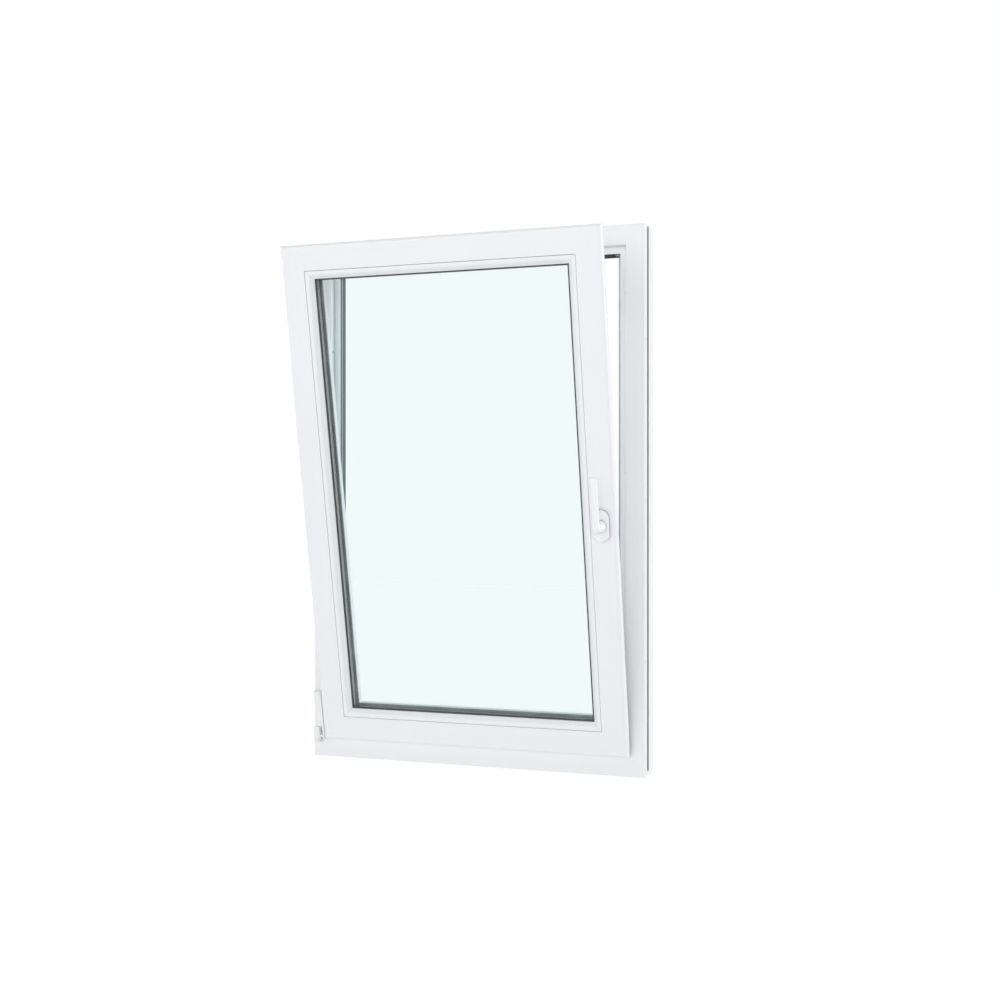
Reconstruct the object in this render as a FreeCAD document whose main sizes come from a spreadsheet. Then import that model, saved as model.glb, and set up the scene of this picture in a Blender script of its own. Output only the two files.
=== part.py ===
import FreeCAD, Part
import math
import os
import re
import Sketcher
from FreeCAD import Placement, Rotation, Vector

# Tilt and turn window, seen from the room: X to the right, Y to the outside, Z up.
# The origin is the centre of the frame's underside, halfway through its depth.
# The sash is drawn shut and upright, then turned about its tilt axis to stand open at the top.

SIZES = [
    ("frame_width", 800.0, "frame, outer width"),
    ("frame_height", 1200.0, "frame, outer height"),
    ("frame_depth", 70.0, "frame, room face to outer face"),
    ("base_height", 10.0, "plain strip under the sill's section"),
    ("face_width", 43.5, "frame, room face from the edge to the rebate"),
    ("rebate_depth", 17.0, "frame, depth of the rebate that takes the sash"),
    ("upstand_width", 16.0, "frame, front of the upstand behind the rebate"),
    ("frame_gasket_width", 7.0, "frame gasket, across the opening"),
    ("frame_gasket_depth", 12.5, "frame gasket, front to back"),
    ("outer_splay", 22.0, "upstand, widening of the opening towards the outer face"),
    ("groove_offset", 17.5, "outer groove, distance behind the room face"),
    ("groove_width", 17.5, "outer groove, width"),
    ("groove_depth", 7.0, "outer groove, depth"),
    ("frame_round", 2.0, "frame, rounding of the edges on the room face"),
    ("fixing_bore", 6.5, "frame fixing hole, diameter"),
    ("fixing_margin", 250.0, "outermost fixing holes from the frame's ends"),
    ("fixing_setback", 9.0, "frame fixing hole, distance behind the room face"),
    ("left_inset", 35.0, "sash edge from the frame's left side"),
    ("right_inset", 31.5, "sash edge from the frame's right side"),
    ("top_inset", 20.5, "sash edge from the frame's top"),
    ("bottom_inset", 45.0, "sash edge from the frame's underside"),
    ("flange_gap", 5.0, "shut sash flange in front of the frame's room face"),
    ("flange_thickness", 15.0, "sash flange, thickness"),
    ("flange_width", 28.5, "sash flange, from its edge to the sash body"),
    ("seat_gap", 5.0, "shut sash body in front of the frame's upstand"),
    ("sash_depth", 62.0, "sash, room face to outer face"),
    ("rear_offset", 47.0, "sash edge to the narrower rear of its body"),
    ("sash_round", 8.0, "sash, rounding of its room edge"),
    ("bead_offset", 57.5, "sash edge to the glazing bead"),
    ("bead_width", 17.5, "glazing bead, width"),
    ("bead_depth", 12.0, "glazing bead, depth at the sash"),
    ("bead_flat", 8.0, "glazing bead, flat strip beside the sash"),
    ("bead_shoulder", 8.0, "glazing bead, rounding between its flat strip and its slope"),
    ("bead_nose", 2.0, "glazing bead, thickness of its inner lip"),
    ("bead_round", 1.2, "glazing bead, rounding of its inner lip"),
    ("bead_edge", 1.0, "glazing bead, rounding beside the sash"),
    ("bead_gap", 0.8, "glazing bead, shadow gap to the sash"),
    ("pane_thickness", 4.0, "glass pane, thickness"),
    ("cavity", 16.0, "gap between the panes"),
    ("glass_cover", 15.0, "glass held behind the bead"),
    ("spacer_setback", 2.0, "spacer from the edge of the glass"),
    ("spacer_width", 11.5, "spacer, width seen from the front"),
    ("glazing_gasket_depth", 3.0, "glazing gasket, thickness"),
    ("glazing_gasket_width", 12.5, "glazing gasket, width"),
    ("gasket_lip", 3.5, "glazing gasket, lip past the bead"),
    ("overlap_gasket_offset", 2.0, "overlap gasket, distance from the sash edge"),
    ("overlap_gasket_width", 4.0, "overlap gasket, width"),
    ("gasket_clearance", 0.3, "overlap gasket from the frame's face when shut"),
    ("gasket_notch", 3.0, "overlap gasket cut away above and below the stay arm"),
    ("tilt_angle", 10.94, "sash tilt at the stay's stop, degrees"),
    ("tilt_axis_rise", 4.0, "tilt axis above the sash's lower edge"),
    ("hinge_inset", 15.0, "turning axis from the frame's side"),
    ("hinge_reach", 12.0, "turning axis in front of the frame's room face"),
    ("turn_pin_diameter", 7.0, "turning pin"),
    ("tilt_pin_diameter", 6.0, "tilt pin"),
    ("pin_clearance", 0.05, "hinge pin in its bore, radial"),
    ("end_clearance", 0.4, "hinge knuckle above the lug under it"),
    ("knuckle_diameter", 17.0, "hinge knuckle"),
    ("knuckle_top", 70.0, "hinge knuckle, height of its top"),
    ("knuckle_crown", 3.0, "hinge knuckle, thickness over the pin"),
    ("lug_diameter", 16.0, "lug under the knuckle"),
    ("lug_height", 6.0, "lug under the knuckle, thickness"),
    ("lug_base", 34.0, "lug under the knuckle, height of its underside"),
    ("bearing_plate_width", 20.0, "lower bearing plate, width"),
    ("bearing_plate_thickness", 3.0, "lower bearing plate, thickness"),
    ("band_thickness", 4.0, "hinge band on the sash edge, thickness"),
    ("band_width", 13.0, "hinge band, width front to back"),
    ("band_base", 43.0, "hinge band, height of its lower end"),
    ("band_top", 159.0, "hinge band and its cover, height of the top"),
    ("cover_base", 74.0, "hinge band cover, height of its lower end"),
    ("cover_width", 18.0, "hinge band cover, width"),
    ("cover_depth", 15.5, "hinge band cover, front to back"),
    ("cover_round", 5.0, "hinge covers, rounding"),
    ("stay_bearing_width", 18.0, "stay bearing, width"),
    ("stay_bearing_front", 9.0, "stay bearing, from its axis to its front"),
    ("stay_bearing_height", 104.6, "stay bearing, height"),
    ("stay_head_diameter", 12.0, "head of the stay pin"),
    ("stay_head_height", 2.0, "head of the stay pin, thickness"),
    ("arm_length", 480.0, "stay arm, turning axis to its stud"),
    ("arm_width", 10.0, "stay arm, width"),
    ("arm_thickness", 3.0, "stay arm, thickness"),
    ("arm_rise", 1.2, "stay arm above the shut sash body"),
    ("neck_thickness", 3.0, "stay arm, neck that passes behind the flange"),
    ("neck_setback", 8.0, "stay arm neck behind the turning axis"),
    ("neck_length", 33.0, "stay arm neck, from the axis to the crank"),
    ("crank_length", 9.0, "stay arm, length of the crank"),
    ("eye_half", 7.0, "stay arm eye, half width"),
    ("arm_tip", 8.0, "stay arm, length past the stud"),
    ("stud_diameter", 6.0, "stay stud"),
    ("stud_length", 26.7, "stay stud under the arm"),
    ("slot_width", 13.0, "slot in the sash top for the stud, width"),
    ("slot_play", 1.5, "slot in the sash top for the stud, room at each end"),
    ("slot_depth", 28.0, "slot in the sash top for the stud, depth"),
    ("slot_setback", 23.0, "slot middle behind the sash's room face"),
    ("stud_bias", 1.25, "stay stud off the slot's middle, shut and at the stop"),
    ("stud_bite", 4.0, "middle of the stud's hold in the slot at the stop"),
    ("handle_height", 559.0, "handle axis on the shut sash"),
    ("handle_inset", 32.5, "handle axis from the sash edge"),
    ("rosette_width", 36.0, "handle rosette, width"),
    ("rosette_height", 69.0, "handle rosette, height"),
    ("rosette_depth", 11.0, "handle rosette, depth"),
    ("rosette_round", 17.5, "handle rosette, rounding of its ends"),
    ("rosette_edge", 2.5, "handle rosette, rounding of its front edge"),
    ("neck_diameter", 28.0, "handle neck, foot on the rosette"),
    ("neck_end_diameter", 14.0, "handle neck, where it meets the lever"),
    ("lever_clearance", 0.3, "handle neck in front of the rosette"),
    ("lever_standoff", 26.0, "handle lever in front of the rosette"),
    ("lever_width", 15.0, "handle lever, width"),
    ("lever_depth", 11.0, "handle lever, thickness"),
    ("lever_reach", 110.0, "handle lever, axis to its tip"),
    ("lever_heel", 7.5, "handle lever, axis to its heel"),
    ("lever_round", 7.4, "handle lever, rounding of its ends"),
    ("lever_edge", 4.5, "handle lever, rounding of its edges"),
    ("rail_thickness", 2.5, "lock rail on the sash edge, thickness"),
    ("rail_width", 14.0, "lock rail, width"),
    ("rail_setback", 2.0, "lock rail behind the flange"),
    ("rail_margin", 60.0, "lock rail, distance from the sash's ends"),
    ("cam_diameter", 9.0, "locking cam"),
    ("cam_height", 7.0, "locking cam above the rail"),
    ("lock_first", 300.0, "lowest locking cam, height"),
    ("lock_last", 120.0, "highest locking cam from the frame's top"),
    ("strike_thickness", 3.0, "strike plate, thickness"),
    ("strike_width", 13.0, "strike plate, width"),
    ("strike_length", 60.0, "strike plate, length"),
    ("drain_width", 34.0, "drain cap, width"),
    ("drain_height", 12.0, "drain cap, height"),
    ("drain_depth", 4.0, "drain cap, depth"),
    ("drain_round", 3.0, "drain cap, rounding"),
    ("drain_rise", 26.0, "drain cap, height of its underside"),
    ("drain_spacing", 400.0, "drain caps, spacing"),
]
FIXING_HOLES = 3
LOCK_POINTS = 3
DRAIN_CAPS = 2

doc = FreeCAD.newDocument("tilt_and_turn_window")
sheet = doc.addObject("Spreadsheet::Sheet", "sizes")
for row, (alias, value, meaning) in enumerate(SIZES, start=1):
    sheet.set(f"A{row}", meaning)
    sheet.set(f"B{row}", str(value))
    sheet.setAlias(f"B{row}", alias)
doc.recompute()
ALIASES = {alias for alias, value, meaning in SIZES}
subparts = []


def bound(formula):
    """Formula on the sheet's cells, as another object of the document writes it."""
    return re.sub(r"[a-z_]+", lambda word: "sizes." + word[0] if word[0] in ALIASES else word[0], formula)


def value_of(formula):
    """Present value of a formula on the sheet's cells."""
    return float(sheet.evalExpression(formula))


def spot(x, y, z):
    """Point whose coordinates are formulas on the sheet's cells."""
    return Vector(value_of(x), value_of(y), value_of(z))


# Places shared by several pieces, as formulas in the shut position
FRONT = "-frame_depth / 2"
LEFT = "-frame_width / 2"
RIGHT = "frame_width / 2"
SASH_LEFT = "-frame_width / 2 + left_inset"
SASH_RIGHT = "frame_width / 2 - right_inset"
SASH_BOTTOM = "bottom_inset"
SASH_TOP = "frame_height - top_inset"
SASH_FRONT = "-frame_depth / 2 - flange_gap - flange_thickness"
SASH_WIDTH = "frame_width - left_inset - right_inset"
SASH_HEIGHT = "frame_height - bottom_inset - top_inset"
HINGE_X = "-frame_width / 2 + hinge_inset"
HINGE_Y = "-frame_depth / 2 - hinge_reach"
TILT_Z = "bottom_inset + tilt_axis_rise"
ARM_Z = "frame_height - top_inset - flange_width + arm_rise"
HANDLE_X = "frame_width / 2 - right_inset - handle_inset"

# The stay's stud, measured from the turning axis: where it sits shut, and at the tilt stop
SLOT_SEAT = "slot_setback - flange_thickness - flange_gap + hinge_reach"
STUD_SHUT = f"{SLOT_SEAT} + stud_bias"
STUD_SPAN = f"sqrt(arm_length ^ 2 - ({STUD_SHUT}) ^ 2)"
BITE_RISE = f"{ARM_Z} - arm_rise - stud_bite - ({TILT_Z})"
STUD_OPEN = f"({BITE_RISE}) * sin(tilt_angle) - ({SLOT_SEAT}) * cos(tilt_angle) - stud_bias"
SLOT_START = f"hinge_inset + sqrt(arm_length ^ 2 - ({STUD_OPEN}) ^ 2) - stud_diameter / 2 - slot_play"
SLOT_END = "hinge_inset + arm_length + stud_diameter / 2 + slot_play"

tilt = Placement(Vector(), Rotation(Vector(1, 0, 0), value_of("tilt_angle")), spot("0", HINGE_Y, TILT_Z))
arm_length = value_of("arm_length")
arm_swing = math.degrees(
    math.asin(value_of(STUD_SHUT) / arm_length) + math.asin(value_of(STUD_OPEN) / arm_length))
stay_swing = Placement(Vector(), Rotation(Vector(0, 0, -1), arm_swing), spot(HINGE_X, HINGE_Y, "0"))


def keep(piece, label, place):
    """Labels a finished sub-part, puts it in place and notes it for export."""
    piece.Label = label
    piece.Placement = place
    subparts.append(piece)


def bind(piece, **formulas):
    """Binds properties of a piece to formulas on the sheet."""
    for name, formula in formulas.items():
        piece.setExpression(name, bound(formula))
    return piece


def new_sketch(body, name, role):
    """Sketch on one of the body's own origin planes."""
    plane = next(item for item in body.Origin.OriginFeatures if item.Role == role)
    sketch = body.newObject("Sketcher::SketchObject", name)
    sketch.AttachmentSupport = [(plane, "")]
    sketch.MapMode = "FlatFace"
    return sketch


def pin_point(sketch, element, point, x, y):
    """Holds a sketch point at two formulas, measured from the sketch's origin."""
    for kind, axis, formula in (("DistanceX", -2, x), ("DistanceY", -1, y)):
        if formula == "0":
            sketch.addConstraint(Sketcher.Constraint("PointOnObject", element, point, axis))
        else:
            held = Sketcher.Constraint(kind, -1, 1, element, point, value_of(formula))
            sketch.setExpression(f"Constraints[{sketch.addConstraint(held)}]", bound(formula))


def draw_polygon(sketch, corners):
    """Closed outline through corners given as pairs of formulas."""
    first = sketch.GeometryCount
    count = len(corners)
    points = [spot(x, y, "0") for x, y in corners]
    for index in range(count):
        sketch.addGeometry(Part.LineSegment(points[index], points[(index + 1) % count]))
    for index in range(count):
        following = first + (index + 1) % count
        sketch.addConstraint(Sketcher.Constraint("Coincident", first + index, 2, following, 1))
    for index, (x, y) in enumerate(corners):
        pin_point(sketch, first + index, 1, x, y)


def draw_circle(sketch, x, y, diameter):
    """Circle with its centre and diameter held by formulas."""
    element = sketch.addGeometry(Part.Circle(spot(x, y, "0"), Vector(0, 0, 1), value_of(diameter) / 2))
    pin_point(sketch, element, 3, x, y)
    held = sketch.addConstraint(Sketcher.Constraint("Diameter", element, value_of(diameter)))
    sketch.setExpression(f"Constraints[{held}]", bound(diameter))


def pad(body, sketch, length):
    """Pad of a sketch, away from its plane."""
    feature = body.newObject("PartDesign::Pad", sketch.Name + "_pad")
    feature.Profile = sketch
    return bind(feature, Length=length)


def cut_both_ways(body, sketch, reach=None):
    """Pocket to both sides of a sketch, through everything or for a given reach."""
    before = body.Tip
    feature = body.newObject("PartDesign::Pocket", sketch.Name + "_cut")
    feature.Profile = sketch
    feature.SideType = "Symmetric"
    if reach is None:
        feature.Type = "ThroughAll"
    else:
        bind(feature, Length=f"2 * ({reach})")
    doc.recompute()
    if feature.Shape.Volume >= before.Shape.Volume:
        raise RuntimeError(sketch.Name + " cuts nothing")
    return feature


def round_edges(body, picks, radius):
    """Fillet on the edges of the body's last feature that a test picks."""
    doc.recompute()
    base = body.Tip
    names = [f"Edge{index}" for index, edge in enumerate(base.Shape.Edges, start=1) if picks(edge)]
    feature = body.newObject("PartDesign::Fillet", f"{body.Name}_round_{len(body.Group)}")
    feature.Base = (base, names)
    bind(feature, Radius=radius)
    doc.recompute()
    return feature


def lengthwise_at(x, y):
    """Test for the edges of an extrusion that run along Z through a corner of its outline."""
    corner = spot(x, y, "0")

    def picks(edge):
        ends = edge.Vertexes
        return len(ends) == 2 and all(
            abs(end.X - corner.x) < 1e-4 and abs(end.Y - corner.y) < 1e-4 for end in ends)

    return picks


def member(name, corners, length, reach, lead="0"):
    """Profile bar along Z with both ends mitred; X runs into the opening, Y to the outside."""
    body = doc.addObject("PartDesign::Body", name)
    outline = new_sketch(body, name + "_section", "XY_Plane")
    draw_polygon(outline, corners)
    pad(body, outline, length)
    mitres = new_sketch(body, name + "_mitres", "XZ_Plane")
    slope = f"{reach} - ({lead})"
    draw_polygon(mitres, [(lead, "0"), (reach, "0"), (reach, slope)])
    draw_polygon(mitres, [(lead, length), (reach, length), (reach, f"{length} - ({slope})")])
    cut_both_ways(body, mitres)
    return body


def around(left, right, bottom, top, front):
    """Placements of four bars that go round a rectangle, by side."""
    across = Vector(0, 1, 0)
    return {
        "left": Placement(spot(left, front, bottom), Rotation(across, 0)),
        "top": Placement(spot(left, front, top), Rotation(across, 90)),
        "right": Placement(spot(right, front, top), Rotation(across, 180)),
        "bottom": Placement(spot(right, front, bottom), Rotation(across, -90)),
    }


def mitred_ring(label, corners, reach, width, height, places, motion):
    """One closed ring of four mitred bars of the same section."""
    bars = []
    for side, place in places.items():
        bar = member(f"{label}_{side}", corners, height if side in ("left", "right") else width, reach)
        bar.Placement = place
        bars.append(bar)
    ring = doc.addObject("Part::MultiFuse", label)
    ring.Shapes = bars
    ring.Refine = True
    keep(ring, label, motion)


def box(name, length, width, height):
    """Box along X, Y and Z from its lowest corner."""
    return bind(doc.addObject("Part::Box", name), Length=length, Width=width, Height=height)


def cylinder(name, diameter, height):
    """Upright cylinder on its own origin."""
    return bind(doc.addObject("Part::Cylinder", name), Radius=f"({diameter}) / 2", Height=height)


def cone(name, foot, top, height):
    """Upright cone on its own origin, cut off at the top."""
    made = doc.addObject("Part::Cone", name)
    return bind(made, Radius1=f"({foot}) / 2", Radius2=f"({top}) / 2", Height=height)


def shifted(piece, x, y, z, rotation=Rotation()):
    """Puts a piece at a point given by formulas."""
    piece.Placement = Placement(spot(x, y, z), rotation)
    return piece


def fuse(name, pieces):
    """One solid from several pieces."""
    joined = doc.addObject("Part::MultiFuse", name)
    joined.Shapes = pieces
    joined.Refine = True
    return joined


def cut(name, base, tool):
    """One piece with another taken out of it."""
    result = doc.addObject("Part::Cut", name)
    result.Base = base
    result.Tool = tool
    return result


def sash_ring(label, inset, bar, setback, depth):
    """Flat ring in the shut sash: inset from its edge, bar across, setback behind its room face."""
    width = f"{SASH_WIDTH} - 2 * ({inset})"
    height = f"{SASH_HEIGHT} - 2 * ({inset})"
    outer = box(label + "_outer", width, depth, height)
    inner = box(label + "_inner", f"{width} - 2 * ({bar})", f"3 * ({depth})", f"{height} - 2 * ({bar})")
    shifted(inner, bar, f"-({depth})", bar)
    return shifted(cut(label, outer, inner), f"{SASH_LEFT} + {inset}", f"{SASH_FRONT} + {setback}",
                   f"{SASH_BOTTOM} + {inset}")


def block(name, width, depth, height):
    """Body that starts as a box on its lowest corner, with its front at Y = 0."""
    body = doc.addObject("PartDesign::Body", name)
    start = body.newObject("PartDesign::AdditiveBox", name + "_block")
    bind(start, Length=width, Width=depth, Height=height)
    return body


def along(axis):
    """Test for straight edges that run along one axis."""
    def picks(edge):
        step = edge.Vertexes[-1].Point - edge.Vertexes[0].Point
        return step.Length > 0 and abs(step.dot(axis)) > 0.999 * step.Length

    return picks


def on_front(edge):
    """Test for the edges of a block's front face."""
    return edge.BoundBox.YMax < 1e-4


# Frame: four welded bars of one section, with fixing holes through the jambs
STEP = "face_width"
UPSTAND = "face_width + upstand_width"
OPENING = "face_width + upstand_width + frame_gasket_width"
GASKET_BACK = "rebate_depth + frame_gasket_depth"


def frame_section(base, grooved):
    """Outline of the frame's section: distance into the opening, then distance behind the room face."""
    def into(formula):
        return f"{formula} + {base}" if base != "0" else formula

    groove = [
        ("0", "groove_offset + groove_width"),
        ("groove_depth", "groove_offset + groove_width"),
        ("groove_depth", "groove_offset"),
        ("0", "groove_offset"),
    ]
    return [
        ("0", "0"),
        (into(STEP), "0"),
        (into(STEP), "rebate_depth"),
        (into(UPSTAND), "rebate_depth"),
        (into(UPSTAND), GASKET_BACK),
        (into(OPENING), GASKET_BACK),
        (into(f"{OPENING} - outer_splay"), "frame_depth"),
        ("0", "frame_depth"),
    ] + (groove if grooved else [])


JAMB_HEIGHT = "frame_height - base_height"
frame_places = around(LEFT, RIGHT, "base_height", "frame_height", FRONT)
frame_places["bottom"] = Placement(spot(RIGHT, FRONT, "0"), Rotation(Vector(0, 1, 0), -90))
for side, label in (("left", "frame_left_jamb"), ("right", "frame_right_jamb"),
                    ("top", "frame_head"), ("bottom", "frame_sill")):
    base = "base_height" if side == "bottom" else "0"
    length = JAMB_HEIGHT if side in ("left", "right") else "frame_width"
    bar = member(label, frame_section(base, side != "bottom"), length, f"{OPENING} + 2 * base_height", base)
    if side in ("left", "right"):
        holes = new_sketch(bar, label + "_fixings", "YZ_Plane")
        for number in range(FIXING_HOLES):
            height = f"fixing_margin + {number} * (frame_height - 2 * fixing_margin) / {FIXING_HOLES - 1}"
            distance = f"{height} - base_height" if side == "left" else f"frame_height - ({height})"
            draw_circle(holes, "fixing_setback", distance, "fixing_bore")
        cut_both_ways(bar, holes)
    step_corner = f"{STEP} + {base}"
    round_edges(bar, lengthwise_at("0", "0"), "frame_round")
    round_edges(bar, lengthwise_at(step_corner, "0"), "frame_round")
    keep(bar, label, frame_places[side])

# Frame gasket: a soft wedge along the nose of the upstand
wedge = [("0", "0"), ("0", "frame_gasket_depth"), ("frame_gasket_width", "frame_gasket_depth")]
wedge_places = around(f"{LEFT} + {UPSTAND}", f"{RIGHT} - ({UPSTAND})", f"base_height + {UPSTAND}",
                      f"frame_height - ({UPSTAND})", f"{FRONT} + rebate_depth")
mitred_ring("frame_gasket", wedge, "frame_gasket_width", f"frame_width - 2 * ({UPSTAND})",
            f"frame_height - base_height - 2 * ({UPSTAND})", wedge_places, Placement())

# Sash: four welded bars, each with a flange that laps the frame and a rebate for the glass
SIGHT = "bead_offset + bead_width"
GLASS_FRONT = "bead_depth + glazing_gasket_depth"
GLASS_BACK = "bead_depth + glazing_gasket_depth + 2 * pane_thickness + cavity"
LIP_FRONT = f"{GLASS_BACK} + glazing_gasket_depth"
SEAT_BACK = "flange_thickness + flange_gap + rebate_depth - seat_gap"
sash_section = [
    ("0", "0"),
    ("bead_offset - bead_gap", "0"),
    ("bead_offset - bead_gap", LIP_FRONT),
    (SIGHT, LIP_FRONT),
    (SIGHT, "sash_depth"),
    ("rear_offset", "sash_depth"),
    ("rear_offset", SEAT_BACK),
    ("flange_width", SEAT_BACK),
    ("flange_width", "flange_thickness"),
    ("0", "flange_thickness"),
]
sash_places = around(SASH_LEFT, SASH_RIGHT, SASH_BOTTOM, SASH_TOP, SASH_FRONT)
for side, label in (("left", "sash_left_stile"), ("right", "sash_right_stile"),
                    ("top", "sash_top_rail"), ("bottom", "sash_bottom_rail")):
    length = SASH_HEIGHT if side in ("left", "right") else SASH_WIDTH
    bar = member(label, sash_section, length, f"{SIGHT} + bead_width")
    if side == "top":
        slot = new_sketch(bar, label + "_stay_slot", "YZ_Plane")
        start = f"{SLOT_START} - left_inset"
        end = f"{SLOT_END} - left_inset"
        draw_polygon(slot, [
            (f"slot_setback - slot_width / 2", start),
            (f"slot_setback + slot_width / 2", start),
            (f"slot_setback + slot_width / 2", end),
            (f"slot_setback - slot_width / 2", end),
        ])
        cut_both_ways(bar, slot, "flange_width + slot_depth")
    round_edges(bar, lengthwise_at("0", "0"), "sash_round")
    keep(bar, label, tilt * sash_places[side])

# Glazing beads: four strips that hold the glass from the room side
bead_section = [
    ("0", "0"),
    ("bead_flat", "0"),
    ("bead_width", "bead_depth - bead_nose"),
    ("bead_width", "bead_depth"),
    ("0", "bead_depth"),
]
bead_places = around(f"{SASH_LEFT} + bead_offset", f"{SASH_RIGHT} - bead_offset",
                     f"{SASH_BOTTOM} + bead_offset", f"{SASH_TOP} - bead_offset", SASH_FRONT)
for side, place in bead_places.items():
    label = f"bead_{side}"
    length = f"{SASH_HEIGHT if side in ('left', 'right') else SASH_WIDTH} - 2 * bead_offset"
    bar = member(label, bead_section, length, "2 * bead_width")
    round_edges(bar, lengthwise_at("bead_width", "bead_depth - bead_nose"), "bead_round")
    round_edges(bar, lengthwise_at("0", "0"), "bead_edge")
    round_edges(bar, lengthwise_at("bead_flat", "0"), "bead_shoulder")
    keep(bar, label, tilt * place)

# Sealed glass unit: two panes held apart by a spacer, between an inner and an outer gasket
GLASS_EDGE = f"{SIGHT} - glass_cover"
pane_fronts = {"inner_pane": GLASS_FRONT, "outer_pane": f"{GLASS_FRONT} + pane_thickness + cavity"}
for label, setback in pane_fronts.items():
    pane = box(label, f"{SASH_WIDTH} - 2 * ({GLASS_EDGE})", "pane_thickness",
               f"{SASH_HEIGHT} - 2 * ({GLASS_EDGE})")
    shifted(pane, f"{SASH_LEFT} + {GLASS_EDGE}", f"{SASH_FRONT} + {setback}", f"{SASH_BOTTOM} + {GLASS_EDGE}")
    keep(pane, label, tilt * pane.Placement)
spacer = sash_ring("glass_spacer", f"{GLASS_EDGE} + spacer_setback", "spacer_width",
                   f"{GLASS_FRONT} + pane_thickness", "cavity")
keep(spacer, "glass_spacer", tilt * spacer.Placement)
GASKET_EDGE = f"{SIGHT} + gasket_lip - glazing_gasket_width"
for label, setback in (("inner_glazing_gasket", "bead_depth"), ("outer_glazing_gasket", GLASS_BACK)):
    ring = sash_ring(label, GASKET_EDGE, "glazing_gasket_width", setback, "glazing_gasket_depth")
    keep(ring, label, tilt * ring.Placement)

# Overlap gasket behind the sash flange, cut away where the stay arm passes
lip = sash_ring("overlap_lip", "overlap_gasket_offset", "overlap_gasket_width", "flange_thickness",
                "flange_gap - gasket_clearance")
notch = box("overlap_notch", "flange_width", "3 * flange_gap", "arm_thickness + 2 * gasket_notch")
shifted(notch, SASH_LEFT, f"{SASH_FRONT} + flange_thickness - flange_gap", f"{ARM_Z} - gasket_notch")
keep(cut("overlap_gasket", lip, notch), "overlap_gasket", tilt)

# Lower corner hinge: a plate and lug with the turning pin, screwed to the frame
HINGE_PLATE_HEIGHT = "knuckle_top - lug_base"
plate = box("bearing_plate", "bearing_plate_width", "bearing_plate_thickness", HINGE_PLATE_HEIGHT)
shifted(plate, f"{HINGE_X} - bearing_plate_width / 2", f"{FRONT} - bearing_plate_thickness", "lug_base")
lug_web = box("bearing_web", "lug_diameter", "hinge_reach", "lug_height")
shifted(lug_web, f"{HINGE_X} - lug_diameter / 2", HINGE_Y, "lug_base")
lug = shifted(cylinder("bearing_lug", "lug_diameter", "lug_height"), HINGE_X, HINGE_Y, "lug_base")
PIN_TOP = "knuckle_top - knuckle_crown - end_clearance"
turn_pin = cylinder("bearing_pin", "turn_pin_diameter", f"{PIN_TOP} - lug_base")
shifted(turn_pin, HINGE_X, HINGE_Y, "lug_base")
keep(fuse("corner_bearing", [plate, lug_web, lug, turn_pin]), "corner_bearing", Placement())

# Knuckle on the turning pin, with the tilt pin standing out of its side
KNUCKLE_BASE = "lug_base + lug_height + end_clearance"
barrel = cylinder("knuckle_barrel", "knuckle_diameter", f"knuckle_top - ({KNUCKLE_BASE})")
shifted(barrel, HINGE_X, HINGE_Y, KNUCKLE_BASE)
bore = cylinder("knuckle_bore", "turn_pin_diameter + 2 * pin_clearance",
                "knuckle_top - knuckle_crown - lug_base")
shifted(bore, HINGE_X, HINGE_Y, "lug_base")
TILT_PIN_START = "(knuckle_diameter + turn_pin_diameter) / 4"
sideways = Rotation(Vector(0, 1, 0), 90)
tilt_pin = cylinder("tilt_pin", "tilt_pin_diameter",
                    f"left_inset - hinge_inset - end_clearance - {TILT_PIN_START}")
shifted(tilt_pin, f"{HINGE_X} + {TILT_PIN_START}", HINGE_Y, TILT_Z, sideways)
keep(fuse("pivot_knuckle", [cut("knuckle_shell", barrel, bore), tilt_pin]), "pivot_knuckle", Placement())

# Hinge band on the sash edge, bored for the tilt pin, and its cover
strap = box("band_strap", "band_thickness", "band_width", "band_top - band_base")
shifted(strap, f"{SASH_LEFT} - band_thickness", f"{HINGE_Y} - band_width / 2", "band_base")
eye = cylinder("band_eye", "tilt_pin_diameter + 2 * pin_clearance", "3 * band_thickness")
shifted(eye, f"{SASH_LEFT} - 2 * band_thickness", HINGE_Y, TILT_Z, sideways)
keep(cut("corner_band", strap, eye), "corner_band", tilt)
upright = Vector(0, 0, 1)
cover = block("corner_band_cover", "cover_width", "cover_depth", "band_top - cover_base")
round_edges(cover, along(upright), "cover_round")
shifted(cover, f"{SASH_LEFT} - band_thickness - cover_width", f"{HINGE_Y} - cover_depth / 2", "cover_base")
keep(cover, "corner_band_cover", tilt * cover.Placement)

# Stay bearing at the upper corner of the frame, with the pin that the stay arm turns on
BEARING_TOP = f"{ARM_Z} - end_clearance"
bearing = block("stay_bearing", "stay_bearing_width", "hinge_reach + stay_bearing_front",
                "stay_bearing_height")
upright_edge = along(upright)
round_edges(bearing, lambda edge: upright_edge(edge) and on_front(edge), "cover_round")
shifted(bearing, f"{HINGE_X} - stay_bearing_width / 2", f"{HINGE_Y} - stay_bearing_front",
        f"{BEARING_TOP} - stay_bearing_height")
keep(bearing, "stay_bearing", bearing.Placement)
shank = cylinder("stay_pin_shank", "turn_pin_diameter", "arm_thickness + 2 * end_clearance")
shifted(shank, HINGE_X, HINGE_Y, BEARING_TOP)
head = cylinder("stay_pin_head", "stay_head_diameter", "stay_head_height")
shifted(head, HINGE_X, HINGE_Y, f"{ARM_Z} + arm_thickness + end_clearance")
keep(fuse("stay_pin", [shank, head]), "stay_pin", Placement())

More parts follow.
